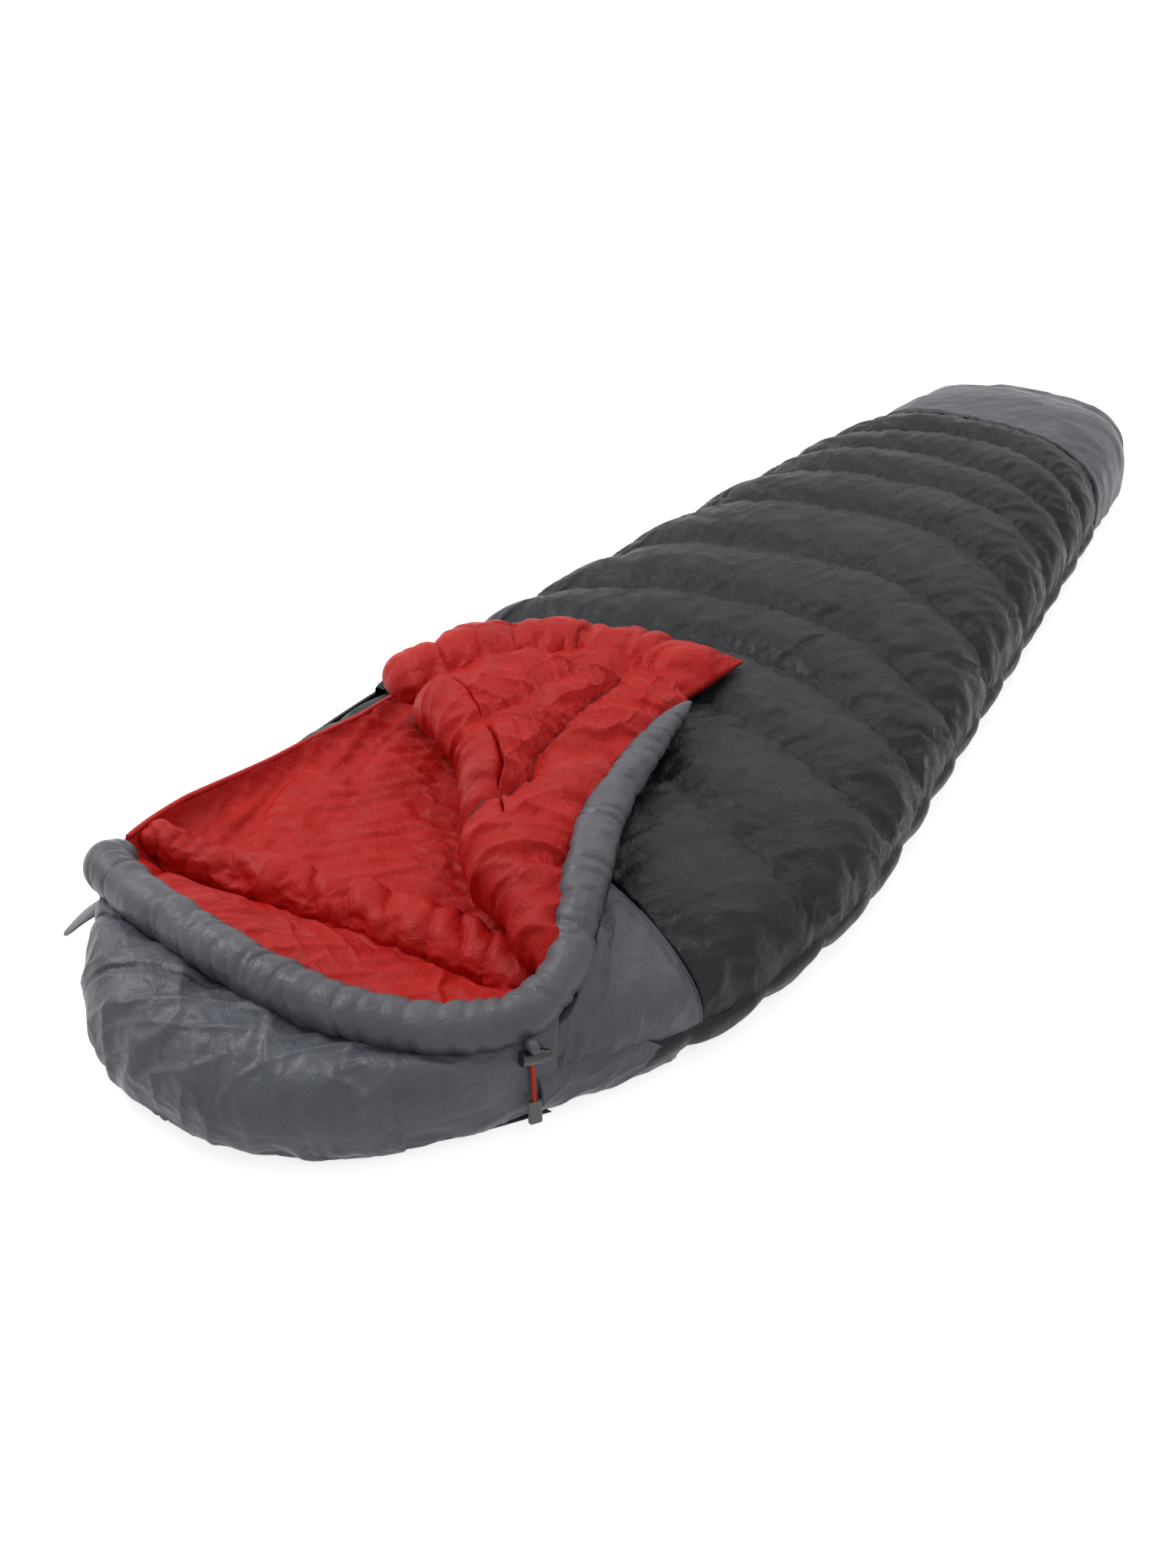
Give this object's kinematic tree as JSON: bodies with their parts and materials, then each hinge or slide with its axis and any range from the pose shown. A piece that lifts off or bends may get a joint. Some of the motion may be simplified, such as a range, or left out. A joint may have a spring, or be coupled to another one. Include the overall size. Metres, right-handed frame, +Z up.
{
  "type": "mummy sleeping bag",
  "caption": "Padded mummy sleeping bag with a hood, a side zip and a folded-back upper flap, lying flat and opened at the head end.",
  "frame": {"origin": "on the floor under the middle of the bag, in the plane of its underside", "axes": "+Y from the hood to the foot, -X the zip side, +Z up from the floor"},
  "size_m": [0.7996, 2.192, 0.2023],
  "materials": {
    "shell_black": "semi-gloss woven nylon, fine crinkle",
    "shell_grey": "semi-gloss woven nylon, fine crinkle",
    "lining_red": "soft polyester with a light sheen",
    "filling": "white fibre wadding",
    "piping": "matt woven tape",
    "teeth": "satin nylon coil",
    "slider_metal": "dark lacquered die casting",
    "lock_plastic": "satin moulded plastic",
    "spring_steel": "bare spring steel",
    "cord_red": "braided cord",
    "tip_grey": "satin moulded rubber",
    "hook_grey": "hook-and-loop tape, hook side"
  },
  "bodies": {
    "bag": {"base_fill": "filling", "base_lining": "lining_red", "base_shell": "shell_black", "cord_channel": "shell_grey", "cord_tip": "tip_grey", "draft_collar": "lining_red", "drawcord": "cord_red", "foot_base_shell": "shell_grey", "foot_fill": "filling", "foot_lining": "lining_red", "foot_shell": "shell_grey", "hood_base_shell": "shell_grey", "hood_fill": "filling", "hood_lining": "lining_red", "hood_rim": "shell_grey", "hood_shell": "shell_grey", "lock_barrel": "lock_plastic", "lock_spring": "spring_steel", "rim_piping": "piping", "shoulder_shell": "shell_grey", "top_fill_crown": "filling", "top_fill_left": "filling", "top_fill_right": "filling", "top_lining": "lining_red", "top_shell": "shell_black", "zip_bottom_stop": "teeth", "zip_tape_base": "piping", "zip_tape_top": "piping", "zip_teeth_base": "teeth", "zip_teeth_top": "teeth", "zip_top_stop": "teeth"},
    "flap": {"flap_shell": "shell_black", "flap_fill": "filling", "flap_lining": "lining_red", "flap_draft_tube": "lining_red", "flap_rim": "shell_grey", "flap_zip_tape": "piping", "flap_zip_teeth": "teeth", "flap_loop": "cord_red"},
    "upper_slider": {"main_slider": "slider_metal"},
    "upper_pull": {"main_pull": "slider_metal"},
    "lower_slider": {"lower_slider": "slider_metal"},
    "lower_pull": {"lower_pull": "slider_metal", "lower_pull_grip": "lock_plastic"},
    "tab": {"closure_tab": "shell_grey", "tab_hook_patch": "hook_grey"},
    "lock_button": {"lock_button": "lock_plastic"}
  },
  "joints": [
    {"name": "flap_fold", "type": "hinge", "parent": "bag", "child": "flap", "pos_m": [-0.335, -0.33, 0.138], "axis": [0.7959, -0.6054, 0], "range_deg": [0, 178]},
    {"name": "upper_slider_run", "type": "slide", "parent": "bag", "child": "upper_slider", "axis": [0.1446, 0.9895, 0], "range_m": [0, 0.35]},
    {"name": "upper_pull_swing", "type": "hinge", "parent": "upper_slider", "child": "upper_pull", "pos_m": [-0.40209, -0.33977, 0.049], "axis": [0, 0, 1], "range_deg": [0, 165]},
    {"name": "lower_slider_run", "type": "slide", "parent": "bag", "child": "lower_slider", "axis": [-0.1446, -0.9895, 0], "range_m": [0, 0.35]},
    {"name": "lower_pull_swing", "type": "hinge", "parent": "lower_slider", "child": "lower_pull", "pos_m": [-0.27699, 0.51623, 0.049], "axis": [0, 0, -1], "range_deg": [0, 165]},
    {"name": "tab_fold", "type": "hinge", "parent": "bag", "child": "tab", "pos_m": [-0.30351, -0.93061, 0.072], "axis": [-0.5141, 0.8577, 0], "range_deg": [0, 110]},
    {"name": "button_press", "type": "slide", "parent": "bag", "child": "lock_button", "axis": [-0.4525, -0.8672, 0.2079], "range_m": [0, 0.004], "stiffness_N_per_m": 600, "springref_m": -0.004}
  ]
}
